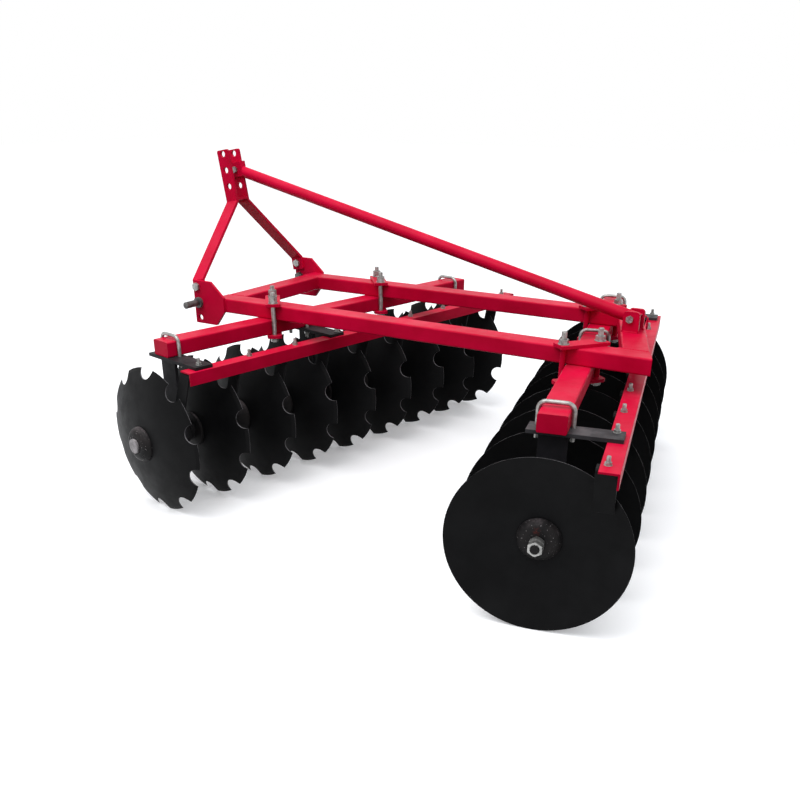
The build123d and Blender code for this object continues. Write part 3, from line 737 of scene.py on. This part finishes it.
def frameWelds():
    gap = frameWeld
    build = bmesh.new()
    left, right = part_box("left_side_beam"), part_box("right_side_beam")
    front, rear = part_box("front_cross_beam"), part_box("rear_cross_beam")
    top, bottom = left[1].z - gap["corner"], left[0].z + gap["corner"]
    slope = (right[0].y - left[0].y) / (right[1].x - left[0].x)
    depth = rear[1].y - rear[0].y - slope * (rear[1].x - rear[0].x)
    joints = [(front[0].x, front[0].y, front[1].y), (front[1].x, front[0].y, front[1].y)]
    joints += [(rear[0].x, rear[0].y, rear[0].y + depth), (rear[1].x, rear[1].y - depth, rear[1].y)]
    for x, back, ahead in joints:
        for z in (top, bottom):
            addBead(build, (x, back + gap["end"], z), (x, ahead - gap["end"], z), beadLook["wide"])
        for y in (back, ahead):
            addBead(build, (x, y, bottom + gap["upright"]), (x, y, top - gap["upright"]))
    for beam, plate, side in ((left, "left_hitch_plate", 0), (right, "right_hitch_plate", 1)):
        x = beam[side].x
        nose = beam[1].y
        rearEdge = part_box(plate)[0].y
        addBead(build, (x, rearEdge, bottom + gap["foot"]), (x, rearEdge, top - gap["end"]))
        addBead(build, (x, rearEdge + gap["end"], top), (x, nose - gap["front"], top))
        addBead(build, (x, rearEdge + gap["heel"], bottom), (x, nose - gap["front"], bottom))
        addBead(build, (x, nose, bottom + gap["end"]), (x, nose, top - gap["end"]))
    for points in solidsOf("brace_lugs"):
        low, high = boxOf(points)
        z = low.z + gap["lugRise"]
        for x in (low.x, high.x):
            addBead(build, (x, low.y + gap["lugEnd"], z), (x, high.y - gap["lugEnd"], z))
        for y in (low.y, high.y):
            addBead(build, (low.x, y, z), (high.x, y, z))
    finishPiece(build, "frameWelds", "frame", "red_paint", smooth=beadLook["smooth"])


# beads along both sides of each hanger's top edge, under its bar
hangerWeld = {"half": 0.042, "drop": 0.001}


def hangerWelds(gang):
    build = bmesh.new()
    place = gangPlace[gang]
    half = hangerWeld["half"]
    for points in solidsOf(gang + "_hangers"):
        low, high = boxOf(points, place)
        z = high.z - hangerWeld["drop"]
        for u in (low.x, high.x):
            addBead(build, place @ Vector((u, -half, z)), place @ Vector((u, half, z)), beadLook["wide"])
    finishPiece(build, gang + "HangerWelds", "frame", "black_paint", smooth=beadLook["smooth"])


frameWelds()
rearStudRedSleeve()
for gang in gangPlace:
    hangerWelds(gang)
    clampBolts(gang)
    scraperBolts(gang)
    uBolts(gang)
    axleNuts(gang)
for node, radius in crossBoltRadius.items():
    crossBolts(node, radius)
print("welds and fasteners dressed")


# 1 for rays that show the background: from the camera, mirrored, or through something clear
def seenRays(tree):
    path = tree.nodes.new("ShaderNodeLightPath")
    seen = mathNode(tree, "ADD", path.outputs["Is Camera Ray"], path.outputs["Is Glossy Ray"], True)
    return mathNode(tree, "ADD", seen, path.outputs["Is Transmission Ray"], True)


# white studio floor: looks white to the camera, throws little light back up
floorLook = {
    "size": 60.0, "gap": 0.0005, "seen": (0.94, 0.94, 0.94, 1), "bounce": (0.09, 0.09, 0.09, 1),
    "rough": 0.9, "glow": (1, 1, 1, 1), "lift": 0.16,
}


def studioFloor():
    mesh = bpy.data.meshes.new("studioFloor")
    build = bmesh.new()
    bmesh.ops.create_grid(build, x_segments=2, y_segments=2, size=floorLook["size"] / 2)
    bmesh.ops.translate(build, verts=build.verts, vec=(0, 0, cadBox[0].z - floorLook["gap"]))
    build.to_mesh(mesh)
    build.free()
    floor = bpy.data.objects.new("studioFloor", mesh)
    bpy.context.scene.collection.objects.link(floor)
    material, tree, shader = newMaterial("studioFloor")
    seen = seenRays(tree)
    color = mixColor(tree, seen, floorLook["bounce"], floorLook["seen"])
    tree.links.new(color, shader.inputs["Base Color"])
    shader.inputs["Roughness"].default_value = floorLook["rough"]
    shader.inputs["Specular IOR Level"].default_value = 0.0
    shader.inputs["Emission Color"].default_value = floorLook["glow"]
    tree.links.new(mathNode(tree, "MULTIPLY", seen, floorLook["lift"]), shader.inputs["Emission Strength"])
    mesh.materials.append(material)


# sky of the studio: white where it is seen or mirrored, brighter overhead than at the sides for the light
skyLook = {
    "zenith": 1.30, "side": 0.28, "fullFrom": 0.9, "tint": (0.94, 0.96, 1.0, 1), "seen": (1, 1, 1, 1),
}


def studioSky():
    world = bpy.data.worlds.new("studioSky")
    world.use_nodes = True
    bpy.context.scene.world = world
    tree = world.node_tree
    back = tree.nodes["Background"]
    split = tree.nodes.new("ShaderNodeSeparateXYZ")
    tree.links.new(tree.nodes.new("ShaderNodeTexCoord").outputs["Generated"], split.inputs[0])
    height = ramp(tree, split.outputs["Z"], 0.0, skyLook["fullFrom"])
    light = between(tree, height, skyLook["side"], skyLook["zenith"])
    seen = seenRays(tree)
    level = mathNode(tree, "MULTIPLY", light, mathNode(tree, "SUBTRACT", 1.0, seen))
    tree.links.new(mathNode(tree, "ADD", level, seen), back.inputs["Strength"])
    tree.links.new(mixColor(tree, seen, skyLook["tint"], skyLook["seen"]), back.inputs["Color"])


# one broad lamp overhead and to the left, as soft as an overcast sky
lampLook = {"place": (-2.2, 0.6, 5.0), "aim": (0.0, 0.0, 0.4), "size": 4.0, "power": 190.0}


def softLamp():
    data = bpy.data.lights.new("softLamp", "AREA")
    data.shape = "SQUARE"
    data.size = lampLook["size"]
    data.energy = lampLook["power"]
    lamp = bpy.data.objects.new("softLamp", data)
    lamp.location = lampLook["place"]
    aim = Vector(lampLook["aim"]) - Vector(lampLook["place"])
    lamp.rotation_euler = aim.to_track_quat("-Z", "Y").to_euler()
    bpy.context.scene.collection.objects.link(lamp)


# camera solved from the photograph: metres from the left beam's front top corner, degrees, pixels
cameraLook = {
    "fromCorner": (-2.70454, -2.49981, 0.73609), "yaw": -30.878, "pitch": 25.157, "roll": 0.159,
    "focalPx": 844.62, "centrePx": (393.8, 502.6), "imagePx": 800.0, "sensor": 36.0, "clip": (0.05, 200.0),
}


def photoCamera():
    yaw, pitch, roll = (math.radians(cameraLook[key]) for key in ("yaw", "pitch", "roll"))
    ahead = Vector((math.cos(yaw) * math.cos(pitch), -math.sin(yaw) * math.cos(pitch), -math.sin(pitch)))
    right = Vector((-math.sin(yaw), -math.cos(yaw), 0.0))
    up = right.cross(ahead)
    turnedRight = right * math.cos(roll) + up * math.sin(roll)
    turnedUp = up * math.cos(roll) - right * math.sin(roll)
    turn = Matrix((turnedRight, turnedUp, -ahead)).transposed()
    data = bpy.data.cameras.new("photoCamera")
    data.sensor_width = cameraLook["sensor"]
    data.lens = cameraLook["focalPx"] / cameraLook["imagePx"] * cameraLook["sensor"]
    data.shift_x = 0.5 - cameraLook["centrePx"][0] / cameraLook["imagePx"]
    data.shift_y = cameraLook["centrePx"][1] / cameraLook["imagePx"] - 0.5
    data.clip_start, data.clip_end = cameraLook["clip"]
    camera = bpy.data.objects.new("photoCamera", data)
    low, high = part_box("left_side_beam")
    place = Vector((low.x, high.y, high.z)) + Vector(cameraLook["fromCorner"])
    camera.matrix_world = Matrix.Translation(place) @ turn.to_4x4()
    bpy.context.scene.collection.objects.link(camera)
    bpy.context.scene.camera = camera


studioFloor()
studioSky()
softLamp()
photoCamera()
bpy.context.scene.view_settings.view_transform = "Standard"
print("studio and camera set")
